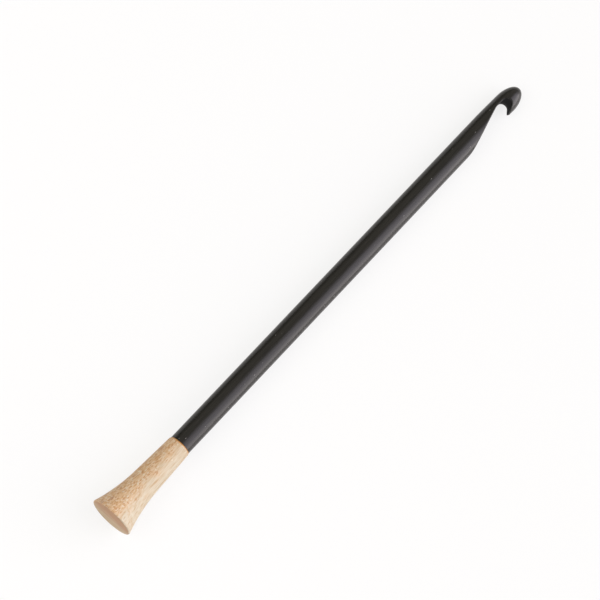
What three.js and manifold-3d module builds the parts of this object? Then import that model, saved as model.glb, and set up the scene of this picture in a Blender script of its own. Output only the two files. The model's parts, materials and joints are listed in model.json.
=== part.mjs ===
// Crochet repair hook: a black hardwood shaft that ends in an in-line hook, glued into a flared
// end cap of pale hardwood. Lengths are in millimetres and angles in degrees.
//
// The tool is drawn along +Y, from the cap's flat end at 0 to the tip of the nose, with the throat
// opening towards +X. Last of all it is laid down, on the rim of the cap and the head of the hook.

import * as THREE from "three";
import { mergeVertices } from "three/addons/utils/BufferGeometryUtils.js";
import Module from "manifold-3d";

// Shaft, a dowel with a turned tenon at its cap end. The length runs from shoulder to nose.
const shaftLength = 123.9;
const shaftDiameter = 5.5;
const tenonLength = 12;
const tenonDiameter = 3.3;
const tenonChamfer = 0.4;

// Nose, a blunt superellipse. A fullness of 2 is an ellipse.
const noseLength = 5.3;
const noseFullness = 1.96;

// Lean of the head towards the throat side, which grows between two distances behind the tip
const headLean = 0.27;
const leanStart = 14;
const leanEnd = 1.5;

// Throat, filed in from +X: a long ramp, a short floor, a round and the underside of the lip
const throatSetback = 6.03;
const throatRadius = 1.27;
const neckThickness = 1.84;
const floorLength = 2.38;
const floorBlendRadius = 5.3;
const rampAngle = 16;
const rampBlendRadius = 14;
const lipAngle = 32;
const lipTipRadius = 0.24;
const edgeRadius = 0.3;

// End cap, turned with a slight taper that sweeps out in a flare to its flat end
const capLength = 23.2;
const capEndDiameter = 11.24;
const capMouthDiameter = 5.82;
const capTaperAngle = 2.7;
const flareLength = 11.7;
const rimRadius = 0.3;
const mouthRadius = 0.24;
const boreEndRoom = 0.6;
const drillPointAngle = 118;

// Glue, a film round the tenon and under the shoulder, with a hair of air on both of its faces
const glueThickness = 0.1;
const glueAir = 0.02;
const glueInset = 0.03;

// Fineness of the round forms
const facets = 64;
const arcStep = 9;
const noseRings = 14;
const leanRings = 8;
const flareRings = 12;
const easingSteps = 5;

// Radii and stations that follow from the sizes above
const shaftRadius = shaftDiameter / 2;
const tenonRadius = tenonDiameter / 2;
const seam = glueThickness + 2 * glueAir;
const boreRadius = tenonRadius + seam;
const shoulderY = capLength + seam;
const tenonEndY = shoulderY - tenonLength;
const boreEndY = tenonEndY - boreEndRoom;
const tipY = shoulderY + shaftLength;
const noseY = tipY - noseLength;
const throatY = tipY - throatSetback;
const floorX = neckThickness - shaftRadius;

const wasm = await Module();
wasm.setup();

const radians = THREE.MathUtils.degToRad;
const point = (x, y) => new THREE.Vector2(x, y);

// Points of an arc about a centre, with both its ends
function arc(centre, radius, from, to) {
  const steps = Math.max(2, Math.ceil(Math.abs(to - from) / arcStep));
  return Array.from({ length: steps + 1 }, (_, i) => {
    const angle = radians(from + ((to - from) * i) / steps);
    return point(centre.x + radius * Math.cos(angle), centre.y + radius * Math.sin(angle));
  });
}

// Points that round the corner between two straight runs, or the run's own limit if it is short
function rounded(before, corner, after, radius) {
  const room = Math.min(before.distanceTo(corner), after.distanceTo(corner));
  const back = before.clone().sub(corner).normalize();
  const ahead = after.clone().sub(corner).normalize();
  const halfAngle = Math.acos(back.dot(ahead)) / 2;
  const fit = Math.min(radius, room * Math.tan(halfAngle));
  const bisector = back.clone().add(ahead).normalize();
  const centre = corner.clone().addScaledVector(bisector, fit / Math.sin(halfAngle));
  const run = fit / Math.tan(halfAngle);
  const first = corner.clone().addScaledVector(back, run).sub(centre);
  const last = corner.clone().addScaledVector(ahead, run).sub(centre);
  const turn = Math.atan2(first.cross(last), first.dot(last));
  const from = THREE.MathUtils.radToDeg(first.angle());
  return arc(centre, fit, from, from + THREE.MathUtils.radToDeg(turn));
}

// A closed triangle mesh with shared corners and no collapsed triangles
function closedMesh(geometry) {
  geometry.deleteAttribute("normal");
  geometry.deleteAttribute("uv");
  const merged = mergeVertices(geometry);
  const corners = merged.index.array;
  const kept = [];
  for (let i = 0; i < corners.length; i += 3) {
    const [a, b, c] = corners.slice(i, i + 3);
    if (a !== b && b !== c && c !== a) kept.push(a, b, c);
  }
  merged.setIndex(kept);
  return merged;
}

// A solid turned on the Y axis, with a facet facing each way along X and Z
function turned(profile) {
  return closedMesh(new THREE.LatheGeometry(profile, facets, Math.PI / facets));
}

function cut(geometry, cutter) {
  const [body, tool] = [geometry, cutter].map((part) => new wasm.Manifold(new wasm.Mesh({
    numProp: 3,
    vertProperties: new Float32Array(part.attributes.position.array),
    triVerts: new Uint32Array(part.index.array),
  })));
  const mesh = body.subtract(tool).getMesh();
  const result = new THREE.BufferGeometry();
  result.setAttribute("position", new THREE.BufferAttribute(mesh.vertProperties, mesh.numProp));
  result.setIndex(new THREE.BufferAttribute(mesh.triVerts, 1));
  return result;
}

// Superellipse from the side of the dowel to the tip
function noseCurve() {
  return Array.from({ length: noseRings + 1 }, (_, i) => {
    const angle = (Math.PI / 2) * (i / noseRings);
    const reach = noseLength * Math.sin(angle) ** (2 / noseFullness);
    return point(i === noseRings ? 0 : shaftRadius * Math.cos(angle), noseY + reach);
  });
}

// Stations on the dowel where the lean bends it, short of the nose
function leanStations() {
  const leanY = tipY - leanStart;
  const count = leanY < noseY ? leanRings : 0;
  return Array.from({ length: count }, (_, i) => leanY + ((noseY - leanY) * i) / leanRings);
}

function shaftProfile() {
  return [
    point(0, tenonEndY),
    point(tenonRadius - tenonChamfer, tenonEndY),
    point(tenonRadius, tenonEndY + tenonChamfer),
    point(tenonRadius, shoulderY),
    point(shaftRadius, shoulderY),
    ...leanStations().map((y) => point(shaftRadius, y)),
    ...noseCurve(),
  ];
}

// Side view of what the file takes away, anticlockwise. It is open towards +X, past the wood.
function throatOutline() {
  const outside = shaftRadius + throatRadius;
  const rampFoot = point(floorX, throatY - floorLength);
  const rampTop = point(shaftRadius, rampFoot.y - (shaftRadius - floorX) / Math.tan(radians(rampAngle)));
  const rampStart = point(shaftRadius, rampTop.y - rampBlendRadius);
  const round = arc(point(floorX + throatRadius, throatY), throatRadius, lipAngle, 180);
  const lipRoot = round[0];
  const lipRun = (shaftRadius - lipRoot.x) / Math.tan(radians(lipAngle));
  const lipTip = point(shaftRadius, lipRoot.y - lipRun);
  const lipBack = point(shaftRadius, lipRoot.y + throatRadius);
  return [
    point(outside, rampStart.y),
    point(outside, lipBack.y),
    lipBack,
    ...rounded(lipBack, lipTip, lipRoot, lipTipRadius),
    ...round,
    ...rounded(round.at(-1), rampFoot, rampTop, floorBlendRadius),
    ...rounded(rampFoot, rampTop, rampStart, rampBlendRadius),
    rampStart,
  ];
}

// The file itself: the outline swept through the dowel along Z. It swells in a quarter round where
// it leaves the wood, which eases the edges that it cuts, less so where the cut is shallow.
function throatFile() {
  const outline = throatOutline();
  const hair = 0.004;
  const easingShare = 0.6;
  const far = shaftDiameter;
  const sections = [];
  for (let step = easingSteps + 1; step >= 0; step -= 1) sections.push([-1, step]);
  for (let step = 0; step <= easingSteps + 1; step += 1) sections.push([1, step]);

  const rings = sections.map(([side, step]) => outline.map((place, i) => {
    const before = outline.at(i - 1);
    const after = outline[(i + 1) % outline.length];
    const along = after.clone().sub(before).normalize();
    const room = Math.max(0, shaftRadius - Math.abs(place.x));
    const radius = Math.min(edgeRadius, easingShare * room);
    const angle = (Math.PI / 2) * Math.min(1, step / easingSteps);
    const swell = radius * (1 - Math.cos(angle));
    const skin = shaftRadius - radius * (1 - Math.sin(angle));
    const chord = Math.sqrt(Math.max(0, skin ** 2 - place.x ** 2));
    const reach = step > easingSteps ? far : chord + hair * (step + 1);
    return new THREE.Vector3(place.x + swell * along.y, place.y - swell * along.x, side * reach);
  }));

  const corners = [];
  for (let row = 0; row < rings.length - 1; row += 1) {
    for (let i = 0; i < outline.length; i += 1) {
      const a = row * outline.length + i;
      const b = row * outline.length + ((i + 1) % outline.length);
      corners.push(a, b, b + outline.length, a, b + outline.length, a + outline.length);
    }
  }
  const last = (rings.length - 1) * outline.length;
  for (const [a, b, c] of THREE.ShapeUtils.triangulateShape(rings[0], [])) {
    corners.push(c, b, a, a + last, b + last, c + last);
  }
  const file = new THREE.BufferGeometry().setFromPoints(rings.flat());
  file.setIndex(corners);
  return file;
}

// Bends the head over to the throat side
function lean(geometry) {
  const places = geometry.attributes.position;
  for (let i = 0; i < places.count; i += 1) {
    const share = THREE.MathUtils.smoothstep(places.getY(i), tipY - leanStart, tipY - leanEnd);
    places.setX(i, places.getX(i) + headLean * share);
  }
  return geometry;
}

// Arc that leaves the taper without a break and ends at the cap's flat end, from end to taper
function flareCurve() {
  const slope = radians(capTaperAngle);
  const taperRun = capLength - flareLength;
  const waist = point(capMouthDiameter / 2 + taperRun * Math.tan(slope), flareLength);
  const rise = waist.x - capEndDiameter / 2;
  const across = rise * Math.cos(slope) + flareLength * Math.sin(slope);
  const radius = -(rise ** 2 + flareLength ** 2) / (2 * across);
  const centre = point(waist.x + radius * Math.cos(slope), waist.y + radius * Math.sin(slope));
  const endAngle = Math.asin(centre.y / radius);
  return Array.from({ length: flareRings + 1 }, (_, i) => {
    const angle = endAngle + ((slope - endAngle) * i) / flareRings;
    return point(centre.x - radius * Math.cos(angle), centre.y - radius * Math.sin(angle));
  });
}

function capProfile() {
  const flare = flareCurve();
  const rim = flare.shift();
  const axisEnd = point(0, 0);
  const mouth = point(capMouthDiameter / 2, capLength);
  const boreMouth = point(boreRadius, capLength);
  const drillPoint = boreRadius / Math.tan(radians(drillPointAngle / 2));
  return [
    axisEnd,
    ...rounded(axisEnd, rim, flare[0], rimRadius),
    ...flare,
    ...rounded(flare.at(-1), mouth, boreMouth, mouthRadius),
    boreMouth,
    point(boreRadius, boreEndY),
    point(0, boreEndY - drillPoint),
  ];
}

// A sleeve round the tenon with a flange between the cap's mouth and the shoulder
function glueProfile() {
  const inside = tenonRadius + glueAir;
  const outside = boreRadius - glueAir;
  const sleeveEndY = tenonEndY + tenonChamfer;
  const flangeRadius = shaftRadius - glueInset;
  return [
    point(inside, sleeveEndY),
    point(outside, sleeveEndY),
    point(outside, capLength + glueAir),
    point(flangeRadius, capLength + glueAir),
    point(flangeRadius, shoulderY - glueAir),
    point(inside, shoulderY - glueAir),
    point(inside, sleeveEndY),
  ];
}

const blackWood = new THREE.MeshStandardMaterial({ color: 0x2c2a27, roughness: 0.42, metalness: 0 });
const paleWood = new THREE.MeshStandardMaterial({ color: 0xdfbf97, roughness: 0.6, metalness: 0 });
const amberGlue = new THREE.MeshStandardMaterial({ color: 0x9a6230, roughness: 0.35, metalness: 0 });

function mesh(name, geometry, material) {
  const part = new THREE.Mesh(geometry, material);
  part.name = name;
  return part;
}

// The slope of the ground line, from the widest ring of the cap to where it first meets the shaft
function restAngle(shaft) {
  const rim = capProfile().reduce((widest, place) => (place.x > widest.x ? place : widest));
  const rimDrop = rim.x * Math.cos(Math.PI / facets);
  const places = shaft.attributes.position;
  let slope = Infinity;
  for (let i = 0; i < places.count; i += 1) {
    const run = places.getY(i) - rim.y;
    if (places.getY(i) >= shoulderY) slope = Math.min(slope, (rimDrop + places.getZ(i)) / run);
  }
  return Math.atan(slope);
}

const shaft = lean(cut(turned(shaftProfile()), throatFile()));
const tool = new THREE.Group();
tool.add(
  mesh("hook_shaft", shaft, blackWood),
  mesh("end_cap", turned(capProfile()), paleWood),
  mesh("glue_line", turned(glueProfile()), amberGlue),
);
tool.rotation.x = -restAngle(shaft);

// The origin is on the ground, under the middle of the tool
const repairHook = new THREE.Group();
repairHook.add(tool);
const bounds = new THREE.Box3().setFromObject(repairHook, true);
const middle = bounds.getCenter(new THREE.Vector3());
tool.position.set(-middle.x, -middle.y, -bounds.min.z);

export default repairHook;
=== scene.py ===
"""A crochet repair hook: a black hardwood shaft with a carved hook head, glued into a flared pale wood cap.

Each piece is modelled upright, as on a bench: +Y runs from the cap's flat end, at 0, to the tip of the nose,
and the throat opens towards +X. Then it is laid where the frame has it, on the cap's rim and the hook's head.
"""

import json
import math

import bpy
from mathutils import Matrix, Vector


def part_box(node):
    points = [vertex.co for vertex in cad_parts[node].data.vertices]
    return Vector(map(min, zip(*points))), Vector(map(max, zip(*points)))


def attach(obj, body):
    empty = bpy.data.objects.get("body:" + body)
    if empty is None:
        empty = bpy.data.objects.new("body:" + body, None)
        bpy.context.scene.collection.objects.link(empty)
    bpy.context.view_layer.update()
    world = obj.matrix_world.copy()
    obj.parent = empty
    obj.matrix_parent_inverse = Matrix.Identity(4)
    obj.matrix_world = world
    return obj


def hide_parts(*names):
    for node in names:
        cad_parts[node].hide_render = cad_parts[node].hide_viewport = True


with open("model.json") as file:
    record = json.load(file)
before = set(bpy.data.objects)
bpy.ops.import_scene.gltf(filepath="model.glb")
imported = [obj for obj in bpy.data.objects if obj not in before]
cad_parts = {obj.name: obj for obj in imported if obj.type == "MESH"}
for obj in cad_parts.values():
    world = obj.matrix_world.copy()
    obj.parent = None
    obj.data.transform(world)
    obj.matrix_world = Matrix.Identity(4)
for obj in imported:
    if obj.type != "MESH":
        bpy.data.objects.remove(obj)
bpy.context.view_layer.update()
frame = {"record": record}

# Hook shaft: one stick of black hardwood, turned to a plain dowel with a tenon at one end and a blunt nose
# at the other. The throat is filed into it from +X: a long ramp, a short floor, a round and an undercut lip.
# Its edges are eased with fine paper, the head leans a little to the throat's side, and all of it is waxed.
mm = 0.001
mount = frame["record"]["mounts"][0]
cap_end = Vector(mount["pos_m"])
axis = -Vector(mount["axis"]).normalized()
lie_down = Vector((0, 1, 0)).rotation_difference(axis)

shaft_radius = 2.75 * mm
shoulder_y = 23.34 * mm
shoulder_ease = 0.06 * mm
tip_y = (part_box("hook_shaft")[1].y - cap_end.y) / axis.y
tenon_radius = 1.65 * mm
tenon_length = 12 * mm
tenon_chamfer = 0.4 * mm

nose_length = 5.3 * mm
nose_fullness = 1.96
nose_y = tip_y - nose_length

head_lean = 0.27 * mm
lean_start = tip_y - 14 * mm
lean_end = tip_y - 1.5 * mm

throat_y = tip_y - 6.03 * mm
throat_radius = 1.27 * mm
floor_x = 1.84 * mm - shaft_radius
floor_length = 2.38 * mm
floor_blend = 0.75 * mm
ramp_angle = math.radians(16)
ramp_blend = 2 * mm
lip_angle = math.radians(32)
lip_tip_radius = 0.24 * mm
edge_radius = 0.3 * mm

# Points in half a ring: on what is filed flat, on the eased edge, and on what is left of the round
FLAT_POINTS = 12
EDGE_POINTS = 7
ROUND_POINTS = 54
FILED_POINTS = FLAT_POINTS + EDGE_POINTS
even_turn = math.pi * FILED_POINTS / (FILED_POINTS + ROUND_POINTS)


def stick_radius(y):
    reach = min(1, max(0, y - nose_y) / nose_length)
    return shaft_radius * math.sqrt(1 - reach**nose_fullness)


def half_width(place):
    """How far the turned stick reaches to either side, along Z, at a place in its middle plane."""
    return math.sqrt(max(0, stick_radius(place.y) ** 2 - place.x**2))


def whole_ring(places):
    """The other half of a ring is the mirror image of the first."""
    return places + [Vector((place.x, place.y, -place.z)) for place in places[-2:0:-1]]


def round_ring(y, radius, first_turn=even_turn):
    """A ring about the axis. The points that come to lie on the ramp are drawn together before it begins."""
    turns = [first_turn * i / FILED_POINTS for i in range(FILED_POINTS)]
    turns += [first_turn + (math.pi - first_turn) * i / ROUND_POINTS for i in range(ROUND_POINTS + 1)]
    return whole_ring([Vector((radius * math.cos(turn), y, radius * math.sin(turn))) for turn in turns])


def filed_ring(start, angle, round_off=None):
    """A ring in the plane that leaves the filed surface at a place and an angle, as far as the stick's back.
    At the tip of the lip it is drawn together in its depth and its width."""
    aim = Vector((math.cos(angle), math.sin(angle), 0))
    close_enough = 0.0001 * mm
    reach = 0
    step = shaft_radius
    while step > close_enough:
        if half_width(start + aim * (reach + step)) > 0:
            reach += step
        else:
            step /= 2
    girth = 1 / math.hypot(aim.x / shaft_radius, aim.y / nose_length)
    ease = min(edge_radius, 0.6 * (shaft_radius - start.x))
    outline = [(0, (half_width(start) - ease) * i / FLAT_POINTS) for i in range(FLAT_POINTS)]
    for i in range(EDGE_POINTS):
        turn = math.pi / 2 * i / EDGE_POINTS
        depth = ease * (1 - math.cos(turn))
        outline.append((depth, half_width(start + aim * depth) - ease * (1 - math.sin(turn))))
    first_turn = math.acos(max(-1, min(1, (reach - ease) / girth - 1)))
    for i in range(ROUND_POINTS + 1):
        turn = first_turn + (math.pi - first_turn) * i / ROUND_POINTS
        depth = max(ease, reach - girth * (1 + math.cos(turn)))
        outline.append((depth, half_width(start + aim * depth)))
    outline[-1] = (reach, 0)
    if round_off is not None:
        near = lip_tip_radius * (1 - round_off)
        far = min(reach, lip_tip_radius * (1 + round_off))
        outline = [(near + (far - near) * depth / reach, side * round_off) for depth, side in outline]
    return whole_ring([start + aim * depth + Vector((0, 0, side)) for depth, side in outline])


def bend(y, corner_y, half_run, turn):
    """What a soft corner adds to the slope of a straight file stroke."""
    share = min(1, max(0, (y - corner_y + half_run) / (2 * half_run)))
    return math.tan(turn) * (half_run * share**2 + max(0, y - corner_y - half_run))


ramp_foot_y = throat_y - floor_length
ramp_top_y = ramp_foot_y - (shaft_radius - floor_x) / math.tan(ramp_angle)


def filed_x(y):
    """How far out the ramp and the floor lie."""
    fall = bend(y, ramp_top_y, ramp_blend, ramp_angle)
    return shaft_radius - fall + bend(y, ramp_foot_y, floor_blend, ramp_angle)


def stations(first, last, spacing):
    count = max(1, round((last - first) / spacing))
    return [first + (last - first) * i / count for i in range(count)]


def smooth_step(value, low, high):
    share = min(1, max(0, (value - low) / (high - low)))
    return share**2 * (3 - 2 * share)


# The stick up to the ramp
ramp_turn = math.radians(4)
gather_length = 8 * mm
ramp_start_y = ramp_top_y - ramp_blend + 0.4 * mm
gather_y = ramp_start_y - gather_length
tenon_y = shoulder_y - tenon_length
dowel_step = 2 * mm
gather_step = 0.5 * mm
ramp_step = 0.18 * mm
throat_step = -math.radians(2.2)
lip_step = 0.14 * mm
rings = [
    round_ring(tenon_y, tenon_radius - tenon_chamfer),
    round_ring(tenon_y + tenon_chamfer, tenon_radius),
    round_ring(shoulder_y, tenon_radius),
    round_ring(shoulder_y, shaft_radius - shoulder_ease),
    round_ring(shoulder_y + shoulder_ease / 2, shaft_radius - shoulder_ease / 4),
    round_ring(shoulder_y + shoulder_ease, shaft_radius),
    round_ring(shoulder_y + 2 * shoulder_ease, shaft_radius),
]
for y in stations(shoulder_y + 0.5 * mm, gather_y, dowel_step):
    rings.append(round_ring(y, shaft_radius))
for y in stations(gather_y, ramp_start_y, gather_step):
    share = smooth_step(y, gather_y, ramp_start_y)
    rings.append(round_ring(y, shaft_radius, even_turn + (ramp_turn - even_turn) * share))

# Up the ramp and over the floor, then round the throat and down the underside of the lip
for y in stations(ramp_start_y, throat_y, ramp_step):
    rings.append(filed_ring(Vector((filed_x(y), y, 0)), math.pi))
throat = Vector((floor_x + throat_radius, throat_y, 0))
for turn in stations(math.pi, lip_angle, throat_step):
    rings.append(filed_ring(throat + throat_radius * Vector((math.cos(turn), math.sin(turn), 0)), turn))
lip_root = throat + throat_radius * Vector((math.cos(lip_angle), math.sin(lip_angle), 0))
lip_run = (shaft_radius - lip_root.x) / math.sin(lip_angle)
lip_straight = lip_run - lip_tip_radius / math.tan(lip_angle / 2)
down_lip = Vector((math.sin(lip_angle), -math.cos(lip_angle), 0))
for run in stations(0, lip_straight, lip_step):
    rings.append(filed_ring(lip_root + down_lip * run, lip_angle))
TIP_RINGS = 9
for i in range(TIP_RINGS):
    turn = math.pi / 2 * (i + 0.5) / TIP_RINGS
    start = lip_root + down_lip * (lip_straight + lip_tip_radius * math.sin(turn))
    rings.append(filed_ring(start, lip_angle, math.cos(turn)))


def drawn_out(name, rings, joined=False):
    """A closed piece that starts as a disc and is extruded ring by ring. Each ring then gets its own shape.
    A joined piece starts as a bare ring, and its last ring is bridged to its first."""
    bpy.ops.object.select_all(action="DESELECT")
    fill_type = "NOTHING" if joined else "NGON"
    bpy.ops.mesh.primitive_circle_add(vertices=len(rings[0]), radius=shaft_radius, fill_type=fill_type)
    piece = bpy.context.object
    piece.name = name
    bpy.ops.object.mode_set(mode="EDIT")
    bpy.ops.mesh.select_mode(type="EDGE")
    bpy.ops.mesh.select_all(action="SELECT")
    for _ in rings[1:]:
        bpy.ops.mesh.extrude_edges_move()
    if joined:
        bpy.ops.mesh.select_non_manifold()
        bpy.ops.mesh.bridge_edge_loops()
    else:
        bpy.ops.mesh.edge_face_add()
    bpy.ops.object.mode_set(mode="OBJECT")
    places = [place for ring in rings for place in ring]
    for vertex, place in zip(piece.data.vertices, places, strict=True):
        vertex.co = place
    return piece


def lean(piece):
    """Bends the head over to the throat's side."""
    for vertex in piece.data.vertices:
        vertex.co.x += head_lean * smooth_step(vertex.co.y, lean_start, lean_end)


def lay_down(piece, sharp_angle):
    """Moves a finished piece from the bench to its place in the frame, and smooths its round faces."""
    bpy.ops.object.select_all(action="DESELECT")
    bpy.context.view_layer.objects.active = piece
    piece.select_set(True)
    bpy.ops.object.mode_set(mode="EDIT")
    bpy.ops.mesh.select_all(action="SELECT")
    bpy.ops.mesh.normals_make_consistent(inside=False)
    bpy.ops.object.mode_set(mode="OBJECT")
    piece.rotation_mode = "QUATERNION"
    piece.rotation_quaternion = lie_down
    piece.location = cap_end
    bpy.ops.object.transform_apply(location=True, rotation=True, scale=True)
    bpy.ops.object.shade_smooth_by_angle(angle=sharp_angle)


class Value:
    """A socket of a node. Arithmetic on it adds Math nodes."""

    def __init__(self, nodes, socket):
        self.nodes = nodes
        self.socket = socket

    def math(self, operation, *values):
        return self.nodes.node("ShaderNodeMath", {"operation": operation}, dict(enumerate(values)))

    def __add__(self, other):
        return self.math("ADD", self, other)

    def __sub__(self, other):
        return self.math("SUBTRACT", self, other)

    def __rsub__(self, other):
        return self.math("SUBTRACT", other, self)

    def __mul__(self, other):
        return self.math("MULTIPLY", self, other)

    def __lt__(self, other):
        return self.math("LESS_THAN", self, other)

    def __gt__(self, other):
        return self.math("GREATER_THAN", self, other)

    __radd__ = __add__
    __rmul__ = __mul__


class Nodes:
    """The node tree of a material or a world."""

    def __init__(self, owner):
        owner.use_nodes = True
        self.tree = owner.node_tree

    def node(self, kind, settings=None, sockets=None, output=0):
        node = self.tree.nodes.new(kind)
        for key, value in (settings or {}).items():
            if key == "stops":
                elements = node.color_ramp.elements
                for _ in value[2:]:
                    elements.new(1)
                for element, (place, colour) in zip(elements, value):
                    element.position = place
                    element.color = (*colour, 1)
            else:
                setattr(node, key, value)
        self.fill(node, sockets or {})
        return Value(self, node.outputs[output])

    def fill(self, node, sockets):
        for key, value in sockets.items():
            if isinstance(value, Value):
                self.tree.links.new(value.socket, node.inputs[key])
            else:
                node.inputs[key].default_value = value

    def parts(self, vector):
        """The X, Y and Z of a vector."""
        split = self.node("ShaderNodeSeparateXYZ", None, {0: vector})
        return [Value(self, split.socket.node.outputs[i]) for i in range(3)]

    def ramp(self, value, stops):
        return self.node("ShaderNodeValToRGB", {"stops": stops}, {0: value})

    def between(self, value, low, high):
        """Rises smoothly from 0 to 1 as a value goes from low to high."""
        sockets = {"Value": value, "From Min": low, "From Max": high}
        return self.node("ShaderNodeMapRange", {"interpolation_type": "SMOOTHSTEP"}, sockets)

    def mix(self, share, first, second):
        """A colour that goes from the first to the second as the share goes from 0 to 1."""
        first, second = ((*colour, 1) if isinstance(colour, tuple) else colour for colour in (first, second))
        return self.node("ShaderNodeMix", {"data_type": "RGBA"}, {0: share, 6: first, 7: second}, output=2)


class Finish(Nodes):
    """The finish of one piece."""

    def __init__(self, name):
        self.material = bpy.data.materials.new(name)
        super().__init__(self.material)
        self.surface = self.tree.nodes["Principled BSDF"]

    def place(self, across=1, along=1, up=None):
        """Where a point was on the bench, counted in a pattern's own size across, along and up."""
        here = self.node("ShaderNodeTexCoord", output="Object")
        sockets = {"Vector": here, "Location": cap_end, "Rotation": lie_down.to_euler()}
        sockets["Scale"] = (across, along, up or across)
        return self.node("ShaderNodeMapping", {"vector_type": "TEXTURE"}, sockets)

    def off_axis(self, shift=0):
        """The distance from the tool's axis, or from a line beside it."""
        squashed = {0: self.place(along=1000), 1: (shift, 0, 0)}
        return self.node("ShaderNodeVectorMath", {"operation": "DISTANCE"}, squashed, output=1)

    def grain(self, across, along, up=None, detail=2):
        """Streaks that run with the grain, from 0 to 1."""
        sockets = {"Vector": self.place(across, along, up), "Scale": 1, "Detail": detail}
        return self.node("ShaderNodeTexNoise", None, sockets)

    def flecks(self, across, along, size, chance):
        """Short marks that lie with the grain, one to a cell, in the share of cells that the chance says."""
        sockets = {"Vector": self.place(across, along), "Scale": 1}
        distance = self.node("ShaderNodeTexVoronoi", None, sockets)
        luck = self.node("ShaderNodeTexVoronoi", None, sockets, output="Color")
        return (1 - self.between(distance, size * 0.6, size)) * (luck < chance)

    def relief(self, height, depth):
        """A bump, whose height from 0 to 1 stands for a real depth."""
        return self.node("ShaderNodeBump", None, {"Height": height, "Distance": depth})

    def dress(self, piece, slot, replaced):
        """Gives the piece this finish and puts it in the place of its plain solid."""
        piece.data.materials.clear()
        piece.data.materials.append(self.material)
        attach(piece, "root")
        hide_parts(replaced)


shaft = drawn_out("waxed_hook_shaft", rings)
lean(shaft)
lay_down(shaft, sharp_angle=math.radians(40))

# Waxed black wood: near black and slightly olive, with a fine straight grain and a few pale specks of dust.
# The file leaves the throat's own walls rough and bare, so they show no sheen, and their colour is painted
# darker there as shade in the throat's recess.
dark_grain = (0.009, 0.0085, 0.0065)
light_grain = (0.0175, 0.016, 0.0125)
pale_dust = (0.2, 0.19, 0.18)
# Painted shade: the near-black colour that the throat's walls are darkened to, as shade in the recess.
painted_throat_shade = (0.004, 0.0035, 0.0033)
bare_and_shaded_radius = 2.35 * mm
waxed_radius = 2.6 * mm
black = Finish("waxed_black_wood")
_, along, upwards = black.parts(black.place())
throat_lean = head_lean * smooth_step(throat_y, lean_start, lean_end)
off_axis = black.off_axis(throat_lean)
throat_end = throat_y + throat_radius
# Mask of the filed throat: it makes the walls rough (real) and darkens their colour (painted shade).
filed_and_painted_shade = 1 - black.between(off_axis, bare_and_shaded_radius, waxed_radius)
filed_and_painted_shade = filed_and_painted_shade * black.between(along, throat_y - 4 * mm, throat_y - 2 * mm)
filed_and_painted_shade = filed_and_painted_shade * (1 - black.between(along, throat_end, throat_end + 0.3 * mm))
fine_grain = black.grain(0.12 * mm, 4 * mm, detail=3)
broad_grain = black.grain(0.5 * mm, 9 * mm)
hand_sanding = black.grain(2.2 * mm, 14 * mm)
colour = black.mix(black.between(fine_grain, 0.3, 0.75), dark_grain, light_grain)
specks = black.flecks(1.2 * mm, 3.2 * mm, size=0.08, chance=0.85)
colour = black.mix(specks, colour, pale_dust)
waxed = 0.18 + black.between(fine_grain, 0.25, 0.8) * 0.1
rough_from_file = 0.45 + black.between(upwards, -2.4 * mm, -0.6 * mm) * 0.35
black.fill(
    black.surface,
    {
        # painted shade: the filed throat is darkened
        "Base Color": black.mix(filed_and_painted_shade, colour, painted_throat_shade),
        "Roughness": waxed + filed_and_painted_shade * (rough_from_file - waxed),
        "Normal": black.relief(fine_grain * 0.22 + broad_grain * 0.45 + hand_sanding, 0.03 * mm),
        "IOR": 1.45,
    },
)
black.dress(shaft, "black_wood", "hook_shaft")

# Glue line: wood glue that set as a thin amber film round the tenon and under the shoulder. What was
# squeezed out fills the groove between the shoulder and the cap's mouth in a slightly uneven bead.
glue_inside = 1.67 * mm
glue_outside = 1.77 * mm
sleeve_y = 11.74 * mm
flange_low_y = 23.22 * mm
flange_high_y = 23.32 * mm
flange_low_radius = 2.62 * mm
flange_high_radius = 2.7 * mm
GLUE_POINTS = 128
BEAD_STEPS = 8
bead_low = Vector((2.85 * mm, 23.1 * mm))
bead_high = Vector((2.752 * mm, 23.37 * mm))
bead_bulge = 0.035 * mm


def turned_ring(radius, y, count, swell=0):
    """A ring about the axis. What it swells by is uneven round the ring, as squeezed glue is."""
    ring = []
    for i in range(count):
        turn = math.tau * i / count
        size = radius + swell * (1 + 0.3 * math.cos(turn) + 0.15 * math.sin(5 * turn))
        ring.append(Vector((size * math.cos(turn), y, size * math.sin(turn))))
    return ring


glue_rings = [
    turned_ring(radius, y, GLUE_POINTS)
    for radius, y in [
        (glue_inside, sleeve_y),
        (glue_outside, sleeve_y),
        (glue_outside, flange_low_y),
        (flange_low_radius, flange_low_y),
    ]
]
for step in range(BEAD_STEPS + 1):
    share = step / BEAD_STEPS
    place = bead_low.lerp(bead_high, share)
    swell = bead_bulge * math.sin(math.pi * share)
    glue_rings.append(turned_ring(place.x, place.y, GLUE_POINTS, swell))
for radius in (flange_high_radius, glue_inside):
    glue_rings.append(turned_ring(radius, flange_high_y, GLUE_POINTS))

glue = drawn_out("amber_glue_line", glue_rings, joined=True)
lay_down(glue, sharp_angle=math.radians(50))
deep_amber = (0.33, 0.125, 0.012)
thin_amber = (0.62, 0.30, 0.05)
amber = Finish("cured_amber_glue")
cloud = amber.grain(0.5 * mm, 0.5 * mm, detail=3)
amber.fill(
    amber.surface,
    {
        "Base Color": amber.mix(amber.between(cloud, 0.3, 0.7), deep_amber, thin_amber),
        "Roughness": 0.22 + cloud * 0.2,
        "Normal": amber.relief(cloud, 0.01 * mm),
    },
)
amber.dress(glue, "glue", "glue_line")

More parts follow.
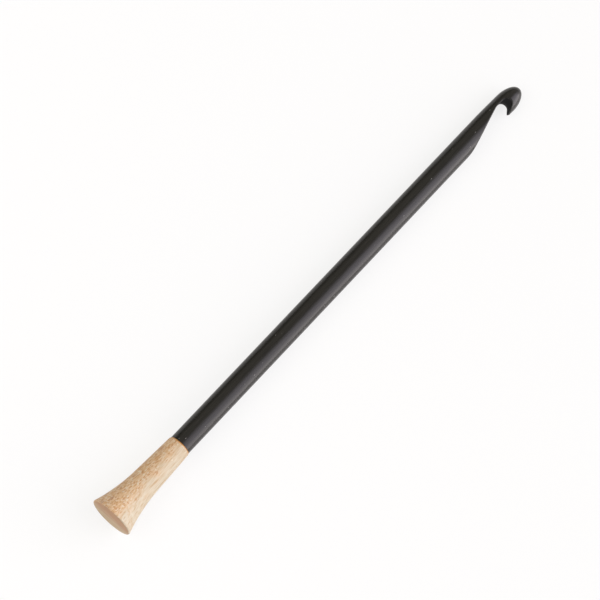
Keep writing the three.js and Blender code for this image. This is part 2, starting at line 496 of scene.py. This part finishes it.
# End cap: a separate piece of pale, close-grained hardwood, turned with a slight taper that sweeps out to a
# flat end, bored blind for the tenon and glued on. It is sanded smooth, with no more than a trace of oil.
cap_length = 23.2 * mm
cap_end_radius = 5.62 * mm
cap_mouth_radius = 2.91 * mm
cap_taper = math.radians(2.7)
flare_length = 11.7 * mm
rim_ease = 0.3 * mm
mouth_ease = 0.24 * mm
bore_radius = 1.79 * mm
bore_end_y = 10.74 * mm
drill_half_angle = math.radians(59)
drill_point_radius = bore_radius / 50
drill_point_y = bore_end_y - bore_radius / math.tan(drill_half_angle)
CAP_POINTS = 144
RIM_SEGMENTS = 7

waist = Vector((cap_mouth_radius + (cap_length - flare_length) * math.tan(cap_taper), flare_length))
rise = waist - Vector((cap_end_radius, 0))
outward = Vector((math.cos(cap_taper), math.sin(cap_taper)))
flare_radius = -rise.length_squared / (2 * rise.dot(outward))
flare_centre = waist + flare_radius * outward


def cap_radius(y):
    """The flare is an arc that leaves the straight taper without a break."""
    if y > flare_length:
        return cap_mouth_radius + (cap_length - y) * math.tan(cap_taper)
    return flare_centre.x - math.sqrt(flare_radius**2 - (flare_centre.y - y) ** 2)


def select_ring(piece, y, radius):
    """Selects the edges of one ring of a piece on the bench, and opens the piece for editing."""
    bpy.ops.object.select_all(action="DESELECT")
    bpy.context.view_layer.objects.active = piece
    piece.select_set(True)
    bpy.ops.object.mode_set(mode="EDIT")
    bpy.ops.mesh.select_mode(type="EDGE")
    bpy.ops.mesh.select_all(action="DESELECT")
    bpy.ops.object.mode_set(mode="OBJECT")
    hair = 0.001 * mm
    on_ring = []
    for vertex in piece.data.vertices:
        off_radius = abs(math.hypot(vertex.co.x, vertex.co.z) - radius)
        on_ring.append(abs(vertex.co.y - y) < hair and off_radius < hair)
    for edge in piece.data.edges:
        edge.select = all(on_ring[i] for i in edge.vertices)
    bpy.ops.object.mode_set(mode="EDIT")


def ease_rim(piece, y, radius, ease, corner_angle):
    """Rounds a turned rim whose two faces meet at an angle."""
    select_ring(piece, y, radius)
    bpy.ops.mesh.bevel(offset=ease / math.tan(corner_angle / 2), segments=RIM_SEGMENTS, affect="EDGES")
    bpy.ops.object.mode_set(mode="OBJECT")


# Beside the two rims the rings keep clear of the rounding
first_flare_y = 0.7 * mm
last_taper_y = cap_length - 0.4 * mm
flare_step = 0.5 * mm
taper_step = 1 * mm
flat_end_shares = (0.25, 0.6, 0.85, 1)
cap_stations = stations(first_flare_y, flare_length, flare_step)
cap_stations += stations(flare_length, last_taper_y, taper_step)
cap_rings = [turned_ring(share * cap_end_radius, 0, CAP_POINTS) for share in flat_end_shares]
cap_rings += [turned_ring(cap_radius(y), y, CAP_POINTS) for y in cap_stations]
cap_rings += [
    turned_ring(radius, y, CAP_POINTS)
    for radius, y in [
        (cap_mouth_radius, cap_length),
        (bore_radius, cap_length),
        (bore_radius, bore_end_y),
        (drill_point_radius, drill_point_y),
    ]
]
cap = drawn_out("turned_end_cap", cap_rings)
end_slope = math.asin(flare_centre.y / flare_radius)
ease_rim(cap, 0, cap_end_radius, rim_ease, math.pi / 2 - end_slope)
ease_rim(cap, cap_length, cap_mouth_radius, mouth_ease, math.pi / 2 + cap_taper)
lay_down(cap, sharp_angle=math.radians(35))

# Sanded pale hardwood: short brown flecks lie with the grain, close together on one side and sparse on the
# other, where long soft streaks show. The flat end shows year bands and pores, rosy above and paler below,
# and a short dark brown line just inside its rim, above the axis on the side away from the throat.
fibre_light = (0.72, 0.64, 0.49)
fibre_brown = (0.46, 0.20, 0.055)
stain = (0.37, 0.18, 0.13)
line_brown = (0.46, 0.29, 0.14)
end_below = (0.64, 0.49, 0.315)
end_above = (0.50, 0.265, 0.13)
late_wood = (0.42, 0.22, 0.10)
pore_brown = (0.36, 0.18, 0.08)
rim_line_brown = (0.25, 0.11, 0.03)
end_skin = 0.02 * mm
flecked_below = -2.8 * mm
plain_above = 1.2 * mm
rim_line_inside = 5.16 * mm
rim_line_outside = 5.34 * mm
rim_line_left = -3.4 * mm
rim_line_right = -2 * mm
pale = Finish("sanded_pale_hardwood")
sideways, along, upwards = pale.parts(pale.place())
strokes = pale.grain(0.24 * mm, 2 * mm)
streaks = pale.grain(0.32 * mm, 5 * mm, detail=3)
patches = pale.grain(1.8 * mm, 5 * mm)
flank = sideways - upwards * 0.35 + (patches - 0.5) * (5 * mm)
flecked = 1 - pale.between(flank, flecked_below, plain_above)
brown_side = pale.ramp(
    strokes,
    [(0.34, (0.58, 0.345, 0.16)), (0.5, (0.69, 0.475, 0.275)), (0.7, (0.73, 0.57, 0.39))],
)
cream_side = pale.ramp(
    streaks * 0.6 + strokes * 0.4,
    [(0.36, (0.46, 0.315, 0.17)), (0.46, (0.56, 0.46, 0.31)), (0.62, (0.61, 0.55, 0.415))],
)
wood = pale.mix(flecked, cream_side, brown_side)
light_flecks = pale.flecks(0.36 * mm, 0.9 * mm, size=0.45, chance=flecked * 0.45)
wood = pale.mix(light_flecks * 0.85, wood, fibre_light)
brown_flecks = pale.flecks(0.27 * mm, 1 * mm, size=0.48, chance=flecked * 0.75)
wood = pale.mix(brown_flecks * 0.75, wood, fibre_brown)
stained = pale.flecks(0.8 * mm, 2.4 * mm, size=0.5, chance=0.5)
stained = stained * (1 - pale.between(sideways, -2.6 * mm, -1.8 * mm)) * pale.between(upwards, -2 * mm, 0)
wood = pale.mix(stained * 0.45, wood, stain)
lines = pale.between(pale.grain(0.24 * mm, 9 * mm, detail=1), 0.55, 0.68)
lines = lines * pale.between(along, 9 * mm, 17 * mm)
wood = pale.mix(lines * (1 - flecked) * 0.5, wood, line_brown)
year_bands = pale.grain(4 * mm, 1 * mm, up=0.5 * mm, detail=3)
end_height = pale.between(upwards + (year_bands - 0.5) * (4 * mm), -3 * mm, 3 * mm)
end_wood = pale.mix(end_height, end_below, end_above)
end_wood = pale.mix(pale.between(year_bands, 0.45, 0.65) * 0.5, end_wood, late_wood)
pores = pale.flecks(0.24 * mm, 1 * mm, size=0.4, chance=0.35)
end_wood = pale.mix(pores * 0.35, end_wood, pore_brown)
off_axis = pale.off_axis()
rim_line = (off_axis < rim_line_outside) - (off_axis < rim_line_inside)
rim_line = rim_line * ((sideways < rim_line_right) - (sideways < rim_line_left)) * (0 < upwards)
end_wood = pale.mix(rim_line * 0.8, end_wood, rim_line_brown)
pale.fill(
    pale.surface,
    {
        "Base Color": pale.mix(along < end_skin, wood, end_wood),
        "Roughness": 0.6 - streaks * 0.16,
        "Normal": pale.relief(streaks * 0.5 + strokes * 0.5, 0.02 * mm),
    },
)
pale.dress(cap, "pale_wood", "end_cap")

# Table: a wide sheet of smooth pale board that the tool lies on. It stays plain, keeps the tool's shadow, and
# at a low angle mirrors the lit wall of the tent.
bpy.ops.object.select_all(action="DESELECT")
table_size = 6
white_to_camera = 0.78
white_to_gloss = 0.35
bpy.ops.mesh.primitive_plane_add(size=table_size, location=(0, 0, 0))
table = bpy.context.object
table.name = "table"
board = Finish("pale_board")
board.fill(board.surface, {"Base Color": (0.93, 0.925, 0.89, 1), "Roughness": 0.25})
seen = board.node("ShaderNodeLightPath", output="Is Camera Ray")
glossy = board.node("ShaderNodeLightPath", output="Is Glossy Ray")
through = board.node("ShaderNodeLightPath", output="Is Transmission Ray")
white = board.node("ShaderNodeEmission", None, {"Color": (1, 1, 1, 1), "Strength": 1})
lit = Value(board, board.surface.outputs[0])
whiteness = seen * white_to_camera + (glossy + through) * white_to_gloss
whitened = board.node("ShaderNodeMixShader", None, {0: whiteness, 1: lit, 2: white})
board.fill(board.tree.nodes["Material Output"], {"Surface": whitened})
table.data.materials.append(board.material)

# Light: a dim photographer's tent. One wall of it, on the throat's side, is lit over the hook's end of the
# table and brightest low down, and a wide soft lamp hangs over the cap's end.
tent = bpy.data.worlds.new("tent")
bpy.context.scene.world = tent
air = Nodes(tent)
direction = air.node("ShaderNodeTexCoord", output="Generated")
east, north, high = air.parts(direction)
around = east.math("ARCTAN2", east, high) * (1 / math.tau) + 0.5


def tent_wall(levels, brightest):
    """Light by the angle round the tool, from overhead down to the table on the throat's side."""
    stops = [((angle + 180) / 360, tuple(part / brightest for part in colour)) for angle, colour in levels]
    return air.ramp(around, stops)


ROOM_BRIGHTEST = 0.7
room = tent_wall(
    [
        (-90, (0.08, 0.08, 0.07)),
        (-74, (0.22, 0.21, 0.185)),
        (-50, (0.60, 0.57, 0.50)),
        (-8, (0.47, 0.445, 0.40)),
        (4, (0.50, 0.48, 0.49)),
    ],
    ROOM_BRIGHTEST,
)
WALL_BRIGHTEST = 3.85
wall = tent_wall(
    [
        (0, (0, 0, 0)),
        (12, (0.8, 0.755, 0.85)),
        (30, (1.68, 1.58, 1.8)),
        (50, (2.12, 2.0, 2.24)),
        (74, (3.3, 3.1, 3.18)),
        (90, (3.85, 3.54, 3.56)),
    ],
    WALL_BRIGHTEST,
)
wall_share = air.between(north, 0, 0.25) * (1 + air.between(north, 0.25, 0.55) * 0.22)
wall_share = wall_share * (1 - air.between(north, 0.8, 1)) * (WALL_BRIGHTEST / ROOM_BRIGHTEST)
light = air.node("ShaderNodeVectorMath", {"operation": "MULTIPLY_ADD"}, {0: wall, 1: wall_share, 2: room})
air.fill(tent.node_tree.nodes["Background"], {"Color": light, "Strength": ROOM_BRIGHTEST})


def soft_box(name, azimuth, elevation, distance, width, height, power):
    """A lamp that faces the tool and that the camera doesn't see."""
    lamp = bpy.data.lights.new(name, "AREA")
    lamp.shape = "RECTANGLE"
    lamp.size = width
    lamp.size_y = height
    lamp.energy = power
    box = bpy.data.objects.new(name, lamp)
    box.visible_camera = False
    bpy.context.scene.collection.objects.link(box)
    flat = math.cos(elevation)
    away = Vector((math.sin(azimuth) * flat, -math.cos(azimuth) * flat, math.sin(elevation)))
    box.location = away * distance
    box.rotation_euler = away.to_track_quat("Z", "Y").to_euler()


soft_box(
    "lamp_over_cap",
    azimuth=math.radians(-30),
    elevation=math.radians(50),
    distance=0.8,
    width=0.7,
    height=0.5,
    power=2.2,
)

# Camera: it looks down from the cap's end, so that the cap is nearer and its flat end shows, and it is
# turned until the tool lies across the picture from corner to corner.
PICTURE = 600
focal_pixels = 2720
sight_angle = math.radians(18.36)
tool_angle = math.radians(46.463)
foot_along = 0.06902
foot_depth = 0.6399
foot_pixel = (309.2, 308.8)

pitch = sight_angle - math.atan2(-axis.z, axis.y)
roll = math.radians(90) - tool_angle
facing = Matrix.Rotation(pitch, 4, "X") @ Matrix.Rotation(roll, 4, "Z")
foot = cap_end + axis * foot_along
per_pixel = foot_depth / focal_pixels
right = foot_pixel[0] - PICTURE / 2
above = PICTURE / 2 - foot_pixel[1]
in_view = Vector((right * per_pixel, above * per_pixel, -foot_depth))
lens = bpy.data.cameras.new("camera")
lens.sensor_width = 36
lens.lens = lens.sensor_width * focal_pixels / PICTURE
camera = bpy.data.objects.new("camera", lens)
camera.matrix_world = Matrix.Translation(foot - facing.to_3x3() @ in_view) @ facing
bpy.context.scene.collection.objects.link(camera)
bpy.context.scene.camera = camera

bpy.context.scene.view_settings.view_transform = "Standard"
